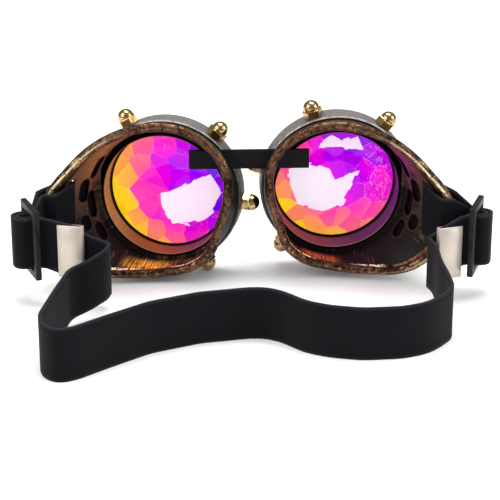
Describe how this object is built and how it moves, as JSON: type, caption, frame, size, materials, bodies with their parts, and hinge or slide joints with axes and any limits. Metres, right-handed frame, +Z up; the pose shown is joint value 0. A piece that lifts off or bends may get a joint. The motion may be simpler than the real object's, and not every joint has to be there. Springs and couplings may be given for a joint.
{
  "type": "costume goggles",
  "caption": "Costume goggles lying on a table: flared eye cups with faceted lenses, lens rings with cap nuts, a bridge band and an elastic head strap with sliders and end clips.",
  "frame": {"origin": "middle of the whole object's box in plan, on the table", "axes": "+X from the wearer's left cup to the right cup (longest extent), +Y the way the goggles look, +Z up off the table"},
  "size_m": [0.187, 0.1239, 0.0712],
  "materials": {
    "cup_plastic": "black plastic dry-brushed with copper",
    "ring_plastic": "black plastic brushed with pewter",
    "lens_glass": "polished, colour-shifting coating",
    "gasket_rubber": "matte",
    "nut_brass": "polished",
    "screw_steel": "plain",
    "bridge_rubber": "matte",
    "strap_elastic": "woven elastic",
    "clip_nickel": "nickel plated, satin",
    "slider_plastic": "moulded"
  },
  "bodies": {
    "goggles": {"left_eye_cup": "cup_plastic", "left_lens": "lens_glass", "left_lens_gasket": "gasket_rubber", "right_eye_cup": "cup_plastic", "right_lens": "lens_glass", "right_lens_gasket": "gasket_rubber", "head_strap": "strap_elastic", "left_strap_clip": "clip_nickel", "right_strap_clip": "clip_nickel"},
    "left_ring": {"left_lens_ring": "ring_plastic", "left_cap_nut_1": "nut_brass", "left_ring_screw_1": "screw_steel", "left_cap_nut_2": "nut_brass", "left_ring_screw_2": "screw_steel", "left_cap_nut_3": "nut_brass", "left_ring_screw_3": "screw_steel", "left_cap_nut_4": "nut_brass", "left_ring_screw_4": "screw_steel", "left_cap_nut_5": "nut_brass", "left_ring_screw_5": "screw_steel", "left_cap_nut_6": "nut_brass", "left_ring_screw_6": "screw_steel"},
    "right_ring": {"right_lens_ring": "ring_plastic", "right_cap_nut_1": "nut_brass", "right_ring_screw_1": "screw_steel", "right_cap_nut_2": "nut_brass", "right_ring_screw_2": "screw_steel", "right_cap_nut_3": "nut_brass", "right_ring_screw_3": "screw_steel", "right_cap_nut_4": "nut_brass", "right_ring_screw_4": "screw_steel", "right_cap_nut_5": "nut_brass", "right_ring_screw_5": "screw_steel", "right_cap_nut_6": "nut_brass", "right_ring_screw_6": "screw_steel"},
    "bridge": {"bridge_strap": "bridge_rubber"},
    "left_slider": {"left_slider": "slider_plastic"},
    "right_slider": {"right_slider": "slider_plastic"}
  },
  "joints": [
    {"name": "left_ring_turn", "type": "hinge", "parent": "goggles", "child": "left_ring", "pos_m": [-0.0316, 0.055, 0.0338], "axis": [0.235, 0.9715, 0.0297], "range_deg": [0, 60]},
    {"name": "right_ring_turn", "type": "hinge", "parent": "goggles", "child": "right_ring", "pos_m": [0.0344, 0.055, 0.036], "axis": [-0.026, 0.9944, 0.1028], "range_deg": [0, 40]},
    {"name": "bridge_slide", "type": "slide", "parent": "goggles", "child": "bridge", "axis": [1, 0, 0], "range_m": [-0.003, 0.003]},
    {"name": "left_slider_slide", "type": "slide", "parent": "goggles", "child": "left_slider", "axis": [-0.9397, -0.342, 0], "range_m": [-0.0008, 0.0025]},
    {"name": "right_slider_slide", "type": "slide", "parent": "goggles", "child": "right_slider", "axis": [0.9397, -0.342, 0], "range_m": [-0.0008, 0.0015]}
  ]
}
